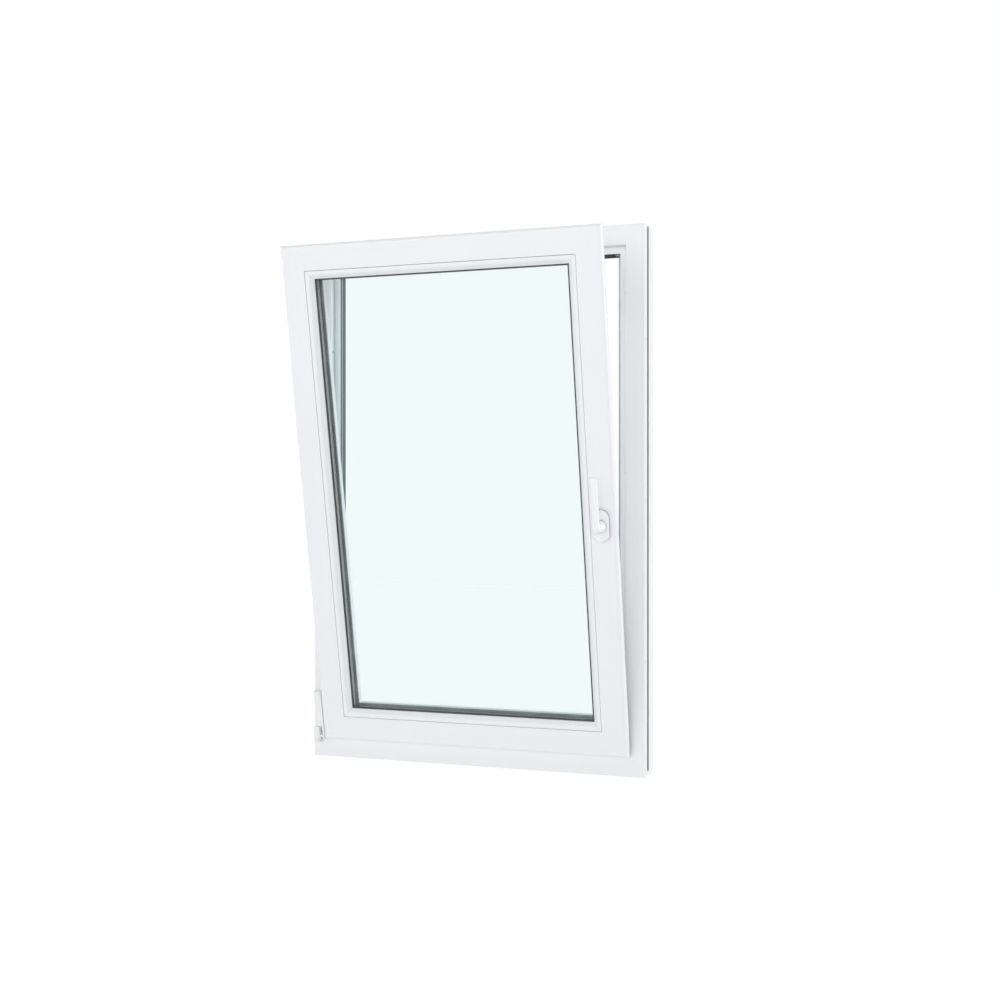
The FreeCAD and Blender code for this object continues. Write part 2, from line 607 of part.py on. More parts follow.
# Stay arm: an eye on the pin, a thin neck behind the flange, then a crank into the rebate
ARM_FRONT = f"eye_half + {STUD_SHUT} - arm_width / 2"
ARM_BACK = f"eye_half + {STUD_SHUT} + arm_width / 2"
NECK_END = "eye_half + neck_length"
CRANK_END = "eye_half + neck_length + crank_length"
ARM_END = f"eye_half + {STUD_SPAN} + arm_tip"
NECK_FRONT = "eye_half + neck_setback"
NECK_BACK = "eye_half + neck_setback + neck_thickness"
arm = doc.addObject("PartDesign::Body", "stay_arm")
arm_outline = new_sketch(arm, "stay_arm_outline", "XY_Plane")
draw_polygon(arm_outline, [
    ("0", "0"),
    ("2 * eye_half", "0"),
    ("2 * eye_half", NECK_FRONT),
    (NECK_END, NECK_FRONT),
    (CRANK_END, ARM_FRONT),
    (ARM_END, ARM_FRONT),
    (ARM_END, ARM_BACK),
    (CRANK_END, ARM_BACK),
    (NECK_END, NECK_BACK),
    ("eye_half", NECK_BACK),
    ("0", "1.5 * eye_half"),
])
draw_circle(arm_outline, "eye_half", "eye_half", "turn_pin_diameter + 2 * pin_clearance")
pad(arm, arm_outline, "arm_thickness")
shifted(arm, f"{HINGE_X} - eye_half", f"{HINGE_Y} - eye_half", ARM_Z)
keep(arm, "stay_arm", stay_swing * arm.Placement)
stud = cylinder("stay_stud", "stud_diameter", "stud_length")
shifted(stud, f"{HINGE_X} + {STUD_SPAN}", f"{HINGE_Y} + {STUD_SHUT}", f"{ARM_Z} - stud_length")
keep(stud, "stay_stud", stay_swing * stud.Placement)

# Handle: a rosette on the sash face and a lever on its neck, pointing up
outward = Vector(0, 1, 0)
rosette = block("handle_rosette", "rosette_width", "rosette_depth", "rosette_height")
round_edges(rosette, along(outward), "rosette_round")
round_edges(rosette, on_front, "rosette_edge")
shifted(rosette, f"{HANDLE_X} - rosette_width / 2", f"{SASH_FRONT} - rosette_depth",
        "handle_height - rosette_height / 2")
keep(rosette, "handle_rosette", tilt * rosette.Placement)
lever = block("lever_grip", "lever_width", "lever_depth", "lever_reach + lever_heel")
round_edges(lever, along(outward), "lever_round")
round_edges(lever, on_front, "lever_edge")
LEVER_FRONT = f"{SASH_FRONT} - rosette_depth - lever_standoff - lever_depth"
shifted(lever, f"{HANDLE_X} - lever_width / 2", LEVER_FRONT, "handle_height - lever_heel")
neck = cone("lever_neck", "neck_diameter", "neck_end_diameter",
            "lever_standoff + lever_depth / 2 - lever_clearance")
shifted(neck, HANDLE_X, f"{SASH_FRONT} - rosette_depth - lever_clearance", "handle_height",
        Rotation(Vector(1, 0, 0), 90))
keep(fuse("handle_lever", [lever, neck]), "handle_lever", tilt)

# Lock rail and cams on the sash edge, and the strike plates that the cams run behind
RAIL_X = f"{SASH_RIGHT} - flange_width"
RAIL_Y = f"{SASH_FRONT} + flange_thickness + rail_setback"
rail = box("lock_rail", "rail_thickness", "rail_width", f"{SASH_HEIGHT} - 2 * rail_margin")
shifted(rail, RAIL_X, RAIL_Y, f"{SASH_BOTTOM} + rail_margin")
keep(rail, "lock_rail", tilt * rail.Placement)
cams = []
strikes = []
for number in range(LOCK_POINTS):
    height = f"lock_first + {number} * (frame_height - lock_first - lock_last) / {LOCK_POINTS - 1}"
    cam = cylinder(f"cam_{number}", "cam_diameter", "cam_height")
    cams.append(shifted(cam, f"{RAIL_X} + rail_thickness", f"{RAIL_Y} + rail_width / 2", height, sideways))
    strike = box(f"strike_{number}", "strike_thickness", "strike_width", "strike_length")
    strikes.append(shifted(strike, f"{RIGHT} - face_width - strike_thickness",
                           f"{FRONT} + (rebate_depth - strike_width) / 2", f"{height} - strike_length / 2"))
caps = []
for number in range(DRAIN_CAPS):
    cap = block(f"drain_cap_{number}", "drain_width", "drain_depth", "drain_height")
    round_edges(cap, along(outward), "drain_round")
    middle = f"({number} - {DRAIN_CAPS - 1} / 2) * drain_spacing"
    caps.append(shifted(cap, f"{middle} - drain_width / 2", "frame_depth / 2", "drain_rise"))
for label, pieces, motion in (("lock_cams", cams, tilt), ("strike_plates", strikes, Placement()),
                              ("drain_caps", caps, Placement())):
    group = doc.addObject("Part::Compound", label)
    group.Links = pieces
    keep(group, label, motion)

# Check every object, then write each sub-part
doc.recompute()
for item in doc.Objects:
    if "Invalid" in item.State or "Error" in item.State:
        raise RuntimeError(f"{item.Label} failed: {item.State}")
for piece in subparts:
    if piece.Shape.isNull() or not piece.Shape.isValid():
        raise RuntimeError(f"{piece.Label} has no valid shape")
os.makedirs("parts", exist_ok=True)
for piece in subparts:
    piece.Shape.exportStep(f"parts/{piece.Label}.step")
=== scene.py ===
import bmesh
import bpy
import math
from mathutils import Matrix, Vector


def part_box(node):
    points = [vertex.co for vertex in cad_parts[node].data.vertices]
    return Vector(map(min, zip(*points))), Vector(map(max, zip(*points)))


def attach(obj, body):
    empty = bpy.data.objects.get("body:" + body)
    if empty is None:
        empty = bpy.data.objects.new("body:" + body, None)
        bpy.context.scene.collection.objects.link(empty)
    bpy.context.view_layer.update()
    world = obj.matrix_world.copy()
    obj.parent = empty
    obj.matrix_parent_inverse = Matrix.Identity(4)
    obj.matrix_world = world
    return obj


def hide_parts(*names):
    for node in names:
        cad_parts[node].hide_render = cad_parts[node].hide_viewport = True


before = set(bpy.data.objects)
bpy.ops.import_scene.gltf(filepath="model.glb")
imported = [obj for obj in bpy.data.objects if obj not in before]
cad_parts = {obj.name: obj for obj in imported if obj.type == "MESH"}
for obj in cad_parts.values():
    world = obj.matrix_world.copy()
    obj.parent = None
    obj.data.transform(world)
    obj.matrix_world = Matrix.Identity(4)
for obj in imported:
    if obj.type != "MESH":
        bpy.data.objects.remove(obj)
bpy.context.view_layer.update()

# White plastic tilt and turn window, seen from the room with its sash tilted in at the top.
# The viewpoint stands to the right of the window at the height of its middle, with a normal lens.
VIEWER_PLACE = (1.14476, -2.9595, 0.60157)
VIEWER_TURN = math.radians(20.245)
scene = bpy.context.scene
bpy.ops.object.select_all(action="DESELECT")
bpy.ops.object.camera_add(location=VIEWER_PLACE, rotation=(math.pi / 2, 0, VIEWER_TURN))
viewer = bpy.context.object
viewer.data.lens = 50
viewer.data.sensor_width = 36
viewer.data.dof.use_dof = False
scene.camera = viewer
scene.view_settings.view_transform = "Standard"

# Room light: a dim surround, two wide lamps before the window, one above it, and two outside that shine
# on its edges. The surround is plain white where it is looked at, in glass or in metal.
SURROUND_LIGHT = 0.30
LAMP_AIM = Vector((0, 0, 0.6))
LAMP_DISTANCE = 4
# Each lamp's name, degrees round to the right from the room side, degrees up, level and degrees of spread
LAMPS = [
    ("front_right_lamp", 15, 2, 0.34, 30),
    ("front_left_lamp", -25, 2, 0.32, 60),
    ("top_lamp", 0, 75, 0.12, 40),
    ("outside_right_lamp", 115, 12, 0.48, 20),
    ("outside_left_lamp", -125, 12, 0.40, 20),
]


class Signal:
    """Output of a shader node; sums with it add the nodes that work them out."""

    def __init__(self, tree, output):
        self.tree = tree
        self.output = output

    def node(self, kind, settings=None, inputs=None, output=0):
        """New node of a kind with its settings, then its sockets' values or links; gives one of its outputs."""
        made = self.tree.nodes.new(kind)
        for name, value in (settings or {}).items():
            setattr(made, name, value)
        for name, value in (inputs or {}).items():
            self.feed(made.inputs[name], value)
        return Signal(self.tree, made.outputs[output])

    def feed(self, socket, value):
        """Links a signal to a socket, or sets a plain value on it."""
        if isinstance(value, Signal):
            self.tree.links.new(value.output, socket)
        else:
            socket.default_value = value

    def sum_with(self, operation, first, second=0.0, third=0.0):
        """Math node on up to three values."""
        return self.node("ShaderNodeMath", {"operation": operation}, {0: first, 1: second, 2: third})

    def __add__(self, other):
        return self.sum_with("ADD", self, other)

    def __sub__(self, other):
        return self.sum_with("SUBTRACT", self, other)

    def __rsub__(self, other):
        return self.sum_with("SUBTRACT", other, self)

    def __mul__(self, other):
        return self.sum_with("MULTIPLY", self, other)

    def __abs__(self):
        return self.sum_with("ABSOLUTE", self)

    def __or__(self, other):
        return self.sum_with("MAXIMUM", self, other)

    def __and__(self, other):
        return self.sum_with("MINIMUM", self, other)

    __radd__ = __add__
    __rmul__ = __mul__

    def line(self, middle, half_width):
        """1 where this value lies on a line of that half width, 0 beside it."""
        return self.sum_with("COMPARE", self, middle, half_width)

    def between(self, low, high):
        """0 below low, 1 above high, with a smooth rise; the other way round where low is the larger."""
        return self.node("ShaderNodeMapRange", {"interpolation_type": "SMOOTHSTEP"},
                         {"Value": self, "From Min": low, "From Max": high})

    def blend(self, first, second):
        """Colour that goes from the first to the second with this value."""
        return self.node("ShaderNodeMix", {"data_type": "RGBA"}, {0: self, 6: first, 7: second}, 2)

    def parts(self):
        """The three coordinates of a vector."""
        split = self.node("ShaderNodeSeparateXYZ", None, {0: self}).output.node
        return [Signal(self.tree, output) for output in split.outputs]

    def noise(self, scale, detail):
        """Soft random pattern on these coordinates, from 0 to 1."""
        return self.node("ShaderNodeTexNoise", None, {"Vector": self, "Scale": scale, "Detail": detail})


def seen_directly(tree):
    """1 for what is looked at, straight or through glass or in a reflection."""
    rays = tree.nodes.new("ShaderNodeLightPath")
    straight, mirrored, through = [Signal(tree, rays.outputs[name]) for name in
                                   ("Is Camera Ray", "Is Glossy Ray", "Is Transmission Ray")]
    return straight | mirrored | through


surround = bpy.data.worlds.new("pale_surround")
surround.use_nodes = True
scene.world = surround
sky = surround.node_tree
seen = seen_directly(sky)
seen.feed(sky.nodes["Background"].inputs["Color"], (1, 1, 1, 1))
seen.feed(sky.nodes["Background"].inputs["Strength"], seen * (1 - SURROUND_LIGHT) + SURROUND_LIGHT)
for name, around, above, level, spread in LAMPS:
    around, above = math.radians(around), math.radians(above)
    towards = Vector((-math.sin(around) * math.cos(above),
                      math.cos(around) * math.cos(above), -math.sin(above)))
    bpy.ops.object.light_add(type="SUN", location=LAMP_AIM - LAMP_DISTANCE * towards,
                             rotation=towards.to_track_quat("-Z", "Y").to_euler())
    lamp = bpy.context.object
    lamp.name = name
    lamp.data.energy = math.pi * level
    lamp.data.angle = math.radians(spread)

# Pale floor of the room, 0.9 m under the window as under a window in a wall.
# It is as white as the surround where it is looked at, and darker in the window's shadow.
FLOOR_Z = -0.9
FLOOR_SIZE = 40
FLOOR_GLOW = 0.22
FLOOR_GLOW_SEEN = 0.25
bpy.ops.object.select_all(action="DESELECT")
bpy.ops.mesh.primitive_plane_add(size=FLOOR_SIZE, location=(0, 0, FLOOR_Z))
floor = bpy.context.object
floor.name = "pale_floor"
floor_paint = bpy.data.materials.new("pale_floor_paint")
floor_paint.use_nodes = True
tree = floor_paint.node_tree
seen = seen_directly(tree)
matt = seen.node("ShaderNodeBsdfDiffuse", None, {"Color": (0.8, 0.8, 0.8, 1)})
glow = seen.node("ShaderNodeEmission", None,
                 {"Color": (1, 1, 1, 1), "Strength": seen * FLOOR_GLOW_SEEN + FLOOR_GLOW})
seen.feed(tree.nodes["Material Output"].inputs["Surface"],
          seen.node("ShaderNodeAddShader", None, {0: matt, 1: glow}))
floor.data.materials.append(floor_paint)

# Frame: four bars of white plastic profile, cut at 45 degrees and welded at the corners.
# The welds are dressed flush and leave a hair line; drawing the profile leaves faint lines along it.
# A groove for fixing irons runs round the outer edge; it is painted grey inside as painted shade.
TILT = math.radians(10.94)
TILT_AXIS = Vector((0, -0.047, 0.049))
LEAN = Matrix.Translation(TILT_AXIS) @ Matrix.Rotation(TILT, 4, "X") @ Matrix.Translation(-TILT_AXIS)
GROOVE_INWARDS = (0.0038, 0.0034)
GROOVE_DEPTH = (-0.0087, 0.0093)
SEAM_HALF_WIDTH, SEAM_CORE = 0.0007, 0.0002
DRAWN_UPRIGHT, DRAWN_LEVEL = (500, 500, 3), (3, 500, 500)


def paint(red, green, blue):
    """Colour from its screen values, 0 to 255."""
    screen = [tone / 255 for tone in (red, green, blue)]
    return (*[tone / 12.92 if tone <= 0.04045 else ((tone + 0.055) / 1.055) ** 2.4 for tone in screen], 1.0)


def scaled(shade, share):
    """The same colour, darker or paler."""
    return (*[share * part for part in shade[:3]], 1.0)


def finish(name, **constants):
    """New finish with these constants on its shader: the finish, its shader and its Object coordinates."""
    made = bpy.data.materials.new(name)
    made.use_nodes = True
    shader = made.node_tree.nodes["Principled BSDF"]
    for socket, value in constants.items():
        shader.inputs[socket].default_value = value
    place = made.node_tree.nodes.new("ShaderNodeTexCoord").outputs["Object"]
    return made, shader, Signal(made.node_tree, place)


def relief(shader, height, strength, depth):
    """Gives a surface fine relief from a pattern."""
    height.feed(shader.inputs["Normal"], height.node(
        "ShaderNodeBump", None, {"Strength": strength, "Distance": depth, "Height": height}))


def upright_place(place, leans):
    """Coordinates on a piece as it stands with the sash shut."""
    if not leans:
        return place
    moved = place.node("ShaderNodeVectorMath", {"operation": "SUBTRACT"}, {0: place, 1: TILT_AXIS})
    turned = place.node("ShaderNodeVectorRotate", {"rotation_type": "X_AXIS"},
                        {"Vector": moved, "Angle": -TILT})
    return place.node("ShaderNodeVectorMath", {"operation": "ADD"}, {0: turned, 1: TILT_AXIS})


def white_profile(name, shade, leans, upright, groove_shade_share, seam_share, ring):
    """Drawn white plastic with painted shade in its groove; seams start at the corners of a ring, given as
    left, right, bottom and top.
    """
    left, right, bottom, top = ring
    made, shader, place = finish(name, IOR=1.5)
    stood = upright_place(place, leans)
    x, y, z = stood.parts()
    from_side = (right - left) / 2 - abs(x - (left + right) / 2)
    from_top, from_bottom = top - z, z - bottom
    # Painted shade: grey in the fixing groove round the frame's outer edge, where shade falls.
    groove = (from_side & from_top).line(*GROOVE_INWARDS) * y.line(*GROOVE_DEPTH)
    seam = (abs(from_side - from_top) & abs(from_side - from_bottom)).between(SEAM_HALF_WIDTH, SEAM_CORE)
    drawn = place.node("ShaderNodeMapping", None,
                       {"Vector": stood, "Scale": DRAWN_UPRIGHT if upright else DRAWN_LEVEL})
    lines = drawn.noise(1.0, 2.0)
    clouds = place.noise(5.0, 3.0)
    tone = (clouds * 0.5 + lines * 0.5).between(0.36, 0.64).blend(shade, scaled(shade, 0.985))
    # Dark seam lines at the welds and the painted groove shade share one grey.
    seam_and_groove_shade = seam * seam_share | groove * groove_shade_share
    place.feed(shader.inputs["Base Color"], seam_and_groove_shade.blend(tone, paint(166, 171, 174)))
    place.feed(shader.inputs["Roughness"], 0.28 + lines * 0.12)
    relief(shader, lines, 0.08, 0.0002)
    return made


def give(finish_for, *names):
    """Puts a finish on pieces that keep their built shape."""
    for name in names:
        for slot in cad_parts[name].material_slots:
            slot.material = finish_for


WHITE_FRAME = paint(239, 240, 242)
FRAME_BARS = {"leans": False, "groove_shade_share": 0.9, "seam_share": 0.05, "ring": (-0.4, 0.4, 0.01, 1.2)}
give(white_profile("white_jamb", WHITE_FRAME, upright=True, **FRAME_BARS),
     "frame_left_jamb", "frame_right_jamb")
give(white_profile("white_head_and_sill", WHITE_FRAME, upright=False, **FRAME_BARS),
     "frame_head", "frame_sill")

# Sash: the same profile in four welded bars, leaning in at the top about its lower edge.
# The glazing beads inside it are four strips pressed into a groove, mitred and not welded.
WHITE_SASH = paint(240, 241, 245)
SASH_BARS = {"leans": True, "groove_shade_share": 0.0, "seam_share": 0.05, "ring": (-0.365, 0.3685, 0.045, 1.1795)}
give(white_profile("white_stile", WHITE_SASH, upright=True, **SASH_BARS),
     "sash_left_stile", "sash_right_stile")
give(white_profile("white_rail", WHITE_SASH, upright=False, **SASH_BARS),
     "sash_top_rail", "sash_bottom_rail")
WHITE_BEAD = paint(239, 242, 244)
BEAD_BARS = {"leans": True, "groove_shade_share": 0.0, "seam_share": 0.4, "ring": (-0.3075, 0.311, 0.1025, 1.122)}
give(white_profile("white_upright_bead", WHITE_BEAD, upright=True, **BEAD_BARS), "bead_left", "bead_right")
give(white_profile("white_level_bead", WHITE_BEAD, upright=False, **BEAD_BARS), "bead_top", "bead_bottom")

# Gaskets: dull, finely grained rubber strips, pushed into grooves of the frame, sash and beads.
# The frame seal's uprights are painted paler than its head and sill, as painted light, with a painted highlight
# line along them; the glazing gaskets are greyer, because they are wiped with the glass.
SEAL_UPRIGHTS = (0.326, 0.332)
SEAL_LIP = (-0.0136, 0.0013)
SASH_SEAL = paint(38, 40, 42)
INNER_SEAL = paint(61, 63, 65)
OUTER_SEAL = paint(148, 148, 149)


def rubber(name, shade, upright_painted_light):
    """Dull rubber with dust on it; its outer uprights take the second colour, which on the frame seal is
    painted light, with a painted highlight line.
    """
    made, shader, place = finish(name)
    x, y, z = place.parts()
    side = abs(x).between(*SEAL_UPRIGHTS)
    # Painted highlight: a paler line along the seal's uprights.
    lip_highlight = y.line(*SEAL_LIP) * side
    grain = place.noise(900.0, 2.0)
    dust = place.noise(14.0, 4.0).between(0.45, 0.75)
    # Painted light: the uprights take their own colour, paler on the frame seal for the light on them; dust
    # varies the rest.
    dust_and_upright_light = side.blend(dust.blend(shade, scaled(shade, 1.5)), upright_painted_light)
    place.feed(shader.inputs["Base Color"], (lip_highlight * 0.6).blend(dust_and_upright_light, paint(196, 200, 202)))
    place.feed(shader.inputs["Roughness"], 0.52 + grain * 0.2)
    relief(shader, grain, 0.2, 0.0002)
    return made


# The frame seal's paler uprights are painted light.
give(rubber("black_frame_seal", paint(34, 36, 38), paint(92, 97, 99)), "frame_gasket")
give(rubber("black_sash_seal", SASH_SEAL, SASH_SEAL), "overlap_gasket")
give(rubber("grey_black_seal", INNER_SEAL, INNER_SEAL), "inner_glazing_gasket")
give(rubber("grey_seal", OUTER_SEAL, OUTER_SEAL), "outer_glazing_gasket")

# Glass unit: two clear panes with a faint green in their thickness, bonded to a spacer at the edge.
# A pane's faces let light through, with a slight reflection that grows at a glancing angle.
PANE_TINT = (0.968, 0.990, 0.988, 1)
MOST_REFLECTED = 0.6


def clear_glass(name, tint):
    """Clear glass with a faint smear in its reflection."""
    made, shader, place = finish(name, IOR=1.5)
    shader.inputs["Base Color"].default_value = paint(236, 246, 244)
    clear = place.node("ShaderNodeBsdfTransparent", None, {"Color": tint})
    edge = place.node("ShaderNodeLayerWeight", None, {"Blend": 0.25}, "Fresnel")
    place.feed(shader.inputs["Roughness"], 0.01 + place.noise(3.0, 3.0) * 0.03)
    gloss = Signal(made.node_tree, shader.outputs[0])
    place.feed(made.node_tree.nodes["Material Output"].inputs["Surface"], place.node(
        "ShaderNodeMixShader", None, {0: edge * 0.5 & MOST_REFLECTED, 1: clear, 2: gloss}))
    return made


give(clear_glass("clear_glass", PANE_TINT), "inner_pane", "outer_pane")

# Spacer: a grey drawn aluminium box strip between the panes, with a paler band along its middle and rows of
# fine holes that face the cavity, set in a dark sealant behind it.
SPACER_MIDDLE = -0.028
PALE_BAND_HALF_WIDTH = 0.0012
HOLE_ROW_OFFSET = 0.0035
HOLE_ROW_HALF_WIDTH = 0.0006
HOLE_PITCH = 0.008


def spacer_strip(name):
    """Grey drawn metal with a paler band between two rows of fine holes."""
    made, shader, place = finish(name)
    x, y, z = upright_place(place, True).parts()
    pale_band = y.line(SPACER_MIDDLE, PALE_BAND_HALF_WIDTH)
    rows = (y.line(SPACER_MIDDLE - HOLE_ROW_OFFSET, HOLE_ROW_HALF_WIDTH)
            | y.line(SPACER_MIDDLE + HOLE_ROW_OFFSET, HOLE_ROW_HALF_WIDTH))
    along = (x + z) * (2 / HOLE_PITCH)
    holes = rows * along.sum_with("PINGPONG", along, 1.0).between(0.62, 0.7)
    grain = place.noise(300.0, 2.0)
    grey = grain.blend(paint(160, 159, 160), paint(171, 170, 170))
    shade = pale_band.blend(grey, paint(198, 198, 198))
    place.feed(shader.inputs["Base Color"], (holes * 0.8).blend(shade, paint(48, 52, 53)))
    place.feed(shader.inputs["Roughness"], 0.38 + grain * 0.16)
    return made


give(spacer_strip("grey_spacer"), "glass_spacer")

# Steel hardware: pressed and zinc plated pieces of the stay and the lock, riveted or screwed on.
# The plating is dull silver with a fine mottle and small drawing marks.


def plated_steel(name):
    """Zinc plated steel."""
    made, shader, place = finish(name, Metallic=1.0)
    mottle = place.noise(120.0, 5.0)
    marks = place.noise(1400.0, 1.0)
    silver = mottle.between(0.3, 0.7).blend(paint(178, 180, 182), paint(206, 207, 208))
    place.feed(shader.inputs["Base Color"], silver)
    place.feed(shader.inputs["Roughness"], 0.28 + mottle * 0.18)
    relief(shader, marks, 0.12, 0.0001)
    return made


zinc = plated_steel("zinc_plate")
give(zinc, "stay_pin", "stay_arm", "stay_stud", "lock_rail")

# White hinge pieces: cast corner bearing, pressed corner band and turning knuckle, coated in smooth white.
# They are a little glossier than the drawn profile, with a fine grain, and match the clipped-on covers.


def white_moulding(name, shade, shade_band=None):
    """Smooth white plastic or paint; given a band between two depths of the shut sash, it paints that band grey
    as painted shade.
    """
    made, shader, place = finish(name, IOR=1.5)
    grain = place.noise(1200.0, 1.0)
    flow = place.noise(18.0, 3.0)
    white = (flow * 0.5 + grain * 0.5).between(0.36, 0.64).blend(shade, scaled(shade, 0.975))
    if shade_band:
        x, y, z = upright_place(place, True).parts()
        # Painted shade: the band is painted grey where the piece meets the one behind it.
        painted_shade = y.line((shade_band[0] + shade_band[1]) / 2, (shade_band[1] - shade_band[0]) / 2)
        white = painted_shade.blend(white, paint(164, 166, 174))
    place.feed(shader.inputs["Base Color"], white)
    place.feed(shader.inputs["Roughness"], 0.28 + flow * 0.1)
    relief(shader, grain, 0.06, 0.0001)
    return made


cover_white = white_moulding("white_cover", paint(238, 240, 242))
give(cover_white, "corner_bearing", "corner_band", "pivot_knuckle")

# Cover of the lower hinge band: a hollow white moulding with two end caps, clipped over the steel band.
# It leans with the sash; a fine groove shows where each end cap meets it.
COVER_LOW = (-0.3845, -0.05475, 0.074)
COVER_HIGH = (-0.3656, -0.03925, 0.159)
COVER_CAP_LENGTH = 0.0075
CAP_GROOVE_WIDTH, CAP_GROOVE_DEPTH = 0.0005, 0.0004
HAIR = 1e-5


def open_new(name):
    """Names the primitive just added, puts its place in its mesh and opens it for editing."""
    bpy.context.object.name = name
    bpy.ops.object.transform_apply(location=True, rotation=True, scale=True)
    bpy.ops.object.mode_set(mode="EDIT")


def start_block(name, low, high):
    """Box between two corners, alone selected and open for editing."""
    bpy.ops.object.select_all(action="DESELECT")
    middle = [(a + b) / 2 for a, b in zip(low, high)]
    bpy.ops.mesh.primitive_cube_add(size=1, location=middle, scale=[b - a for a, b in zip(low, high)])
    open_new(name)


def pick(kind, test):
    """Selects only the edges or faces of the open piece that pass the test."""
    bpy.ops.mesh.select_mode(type="EDGE" if kind == "edges" else "FACE")
    bpy.ops.mesh.select_all(action="DESELECT")
    shape = bmesh.from_edit_mesh(bpy.context.object.data)
    for item in getattr(shape, kind):
        if test(item):
            item.select_set(True)
    shape.select_flush_mode()
    bmesh.update_edit_mesh(bpy.context.object.data)


def centre_of(item):
    """Middle of an edge or face."""
    return sum((corner.co for corner in item.verts), Vector()) / len(item.verts)


def runs_along(axis):
    """Test for edges that run along X, Y or Z, numbered 0 to 2."""
    return lambda edge: abs((edge.verts[0].co - edge.verts[1].co).normalized()[axis]) > 0.999


def lies_at(axis, *levels):
    """Test for edges and faces that lie at one of these levels of an axis."""
    return lambda item: any(all(abs(corner.co[axis] - level) < HAIR for corner in item.verts)
                            for level in levels)


def round_off(radius, steps):
    """Rounds the picked edges."""
    bpy.ops.mesh.bevel(offset=radius, segments=steps, affect="EDGES")


def slice_at(axis, *places):
    """Cuts the open piece across an axis at each place."""
    for place in places:
        bpy.ops.mesh.select_all(action="SELECT")
        bpy.ops.mesh.bisect(plane_co=[place if number == axis else 0 for number in range(3)],
                            plane_no=[1 if number == axis else 0 for number in range(3)])


def cap_grooves(axis, places, width=CAP_GROOVE_WIDTH):
    """Fine grooves round the open piece, where its end caps meet it."""
    for place in places:
        slice_at(axis, place - width / 2, place + width / 2)
        pick("faces", lambda face: abs(centre_of(face)[axis] - place) < width / 4)
        bpy.ops.mesh.extrude_region_shrink_fatten(TRANSFORM_OT_shrink_fatten={"value": -CAP_GROOVE_DEPTH})


def close_piece(finish_for, body, slot, leans=False, replaces=(), angle=40):
    """Ends editing: leans the piece with the sash, smooths it and gives it its finish and its body."""
    bpy.ops.mesh.select_all(action="SELECT")
    bpy.ops.mesh.normals_make_consistent(inside=False)
    bpy.ops.object.mode_set(mode="OBJECT")
    piece = bpy.context.object
    if leans:
        piece.matrix_world = LEAN @ piece.matrix_world
    bpy.ops.object.transform_apply(location=True, rotation=True, scale=True)
    bpy.ops.object.shade_smooth_by_angle(angle=math.radians(angle))
    piece.data.materials.append(finish_for)
    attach(piece, body)
    if replaces:
        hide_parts(*replaces)


start_block("hinge_band_cover", COVER_LOW, COVER_HIGH)
pick("edges", runs_along(2))
round_off(0.0068, 8)
pick("edges", lies_at(2, COVER_LOW[2], COVER_HIGH[2]))
round_off(0.0014, 3)
cap_grooves(2, (COVER_LOW[2] + COVER_CAP_LENGTH, COVER_HIGH[2] - COVER_CAP_LENGTH))
close_piece(cover_white, "sash", "hinge_cover", True, ("corner_band_cover",))

# Cover of the upper stay bearing: the same kind of moulding on the frame's upper left corner.
# Its back lies flat on the frame and its front corners are rounded.
BEARING_CAP_LENGTH = 0.008
BEARING_LOW, BEARING_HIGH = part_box("stay_bearing")
start_block("stay_bearing_cover", BEARING_LOW, BEARING_HIGH)
pick("edges", lambda edge: runs_along(2)(edge) and lies_at(1, BEARING_LOW.y)(edge))
round_off(0.005, 6)
pick("edges", lambda edge: lies_at(2, BEARING_LOW.z, BEARING_HIGH.z)(edge)
     and not lies_at(1, BEARING_HIGH.y)(edge))
round_off(0.0014, 3)
cap_grooves(2, (BEARING_LOW.z + BEARING_CAP_LENGTH, BEARING_HIGH.z - BEARING_CAP_LENGTH))
close_piece(cover_white, "frame", "hinge_cover", False, ("stay_bearing",))

# Sleeve over the lower knuckle: a white cap pushed on the turning barrel from above.
# Its top is gently crowned, and its foot stops short of the lug under it.
SLEEVE_AXIS = (-0.385, -0.047)
SLEEVE_RADIUS = 0.0087
SLEEVE_FOOT, SLEEVE_TOP = 0.0408, 0.0706
SLEEVE_GROOVE = 0.0475


def start_rod(name, sides, radius, length, middle, rotation=(0, 0, 0)):
    """Round bar, alone selected and open for editing; it stands upright unless it is turned."""
    bpy.ops.object.select_all(action="DESELECT")
    bpy.ops.mesh.primitive_cylinder_add(vertices=sides, radius=radius, depth=length, location=middle,
                                        rotation=rotation)
    open_new(name)


start_rod("knuckle_sleeve", 40, SLEEVE_RADIUS, SLEEVE_TOP - SLEEVE_FOOT,
          (*SLEEVE_AXIS, (SLEEVE_FOOT + SLEEVE_TOP) / 2))
pick("edges", lies_at(2, SLEEVE_TOP))
round_off(0.0022, 5)
pick("edges", lies_at(2, SLEEVE_FOOT))
round_off(0.0006, 2)
cap_grooves(2, (SLEEVE_GROOVE,))
close_piece(cover_white, "hinge_knuckle", "hinge_cover")

# Strikes: three pale die-cast plates in the rebate of the right jamb, one beside each locking cam.
# A raised bar on each one holds the cam when the handle turns it behind the bar; two screws fix the plate.
STRIKE_HEIGHTS = (0.300, 0.690, 1.080)
STRIKE_LENGTH = 0.060
STRIKE_BAR_Y = -0.0236
STRIKE_BAR_HALF = 0.017
STRIKE_BAR_RISE = 0.0024
STRIKES_LOW, STRIKES_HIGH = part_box("strike_plates")
first_height = STRIKE_HEIGHTS[0]


def push(x, y, z):
    """Extrudes the picked faces by a move."""
    bpy.ops.mesh.extrude_region_move(TRANSFORM_OT_translate={"value": (x, y, z)})


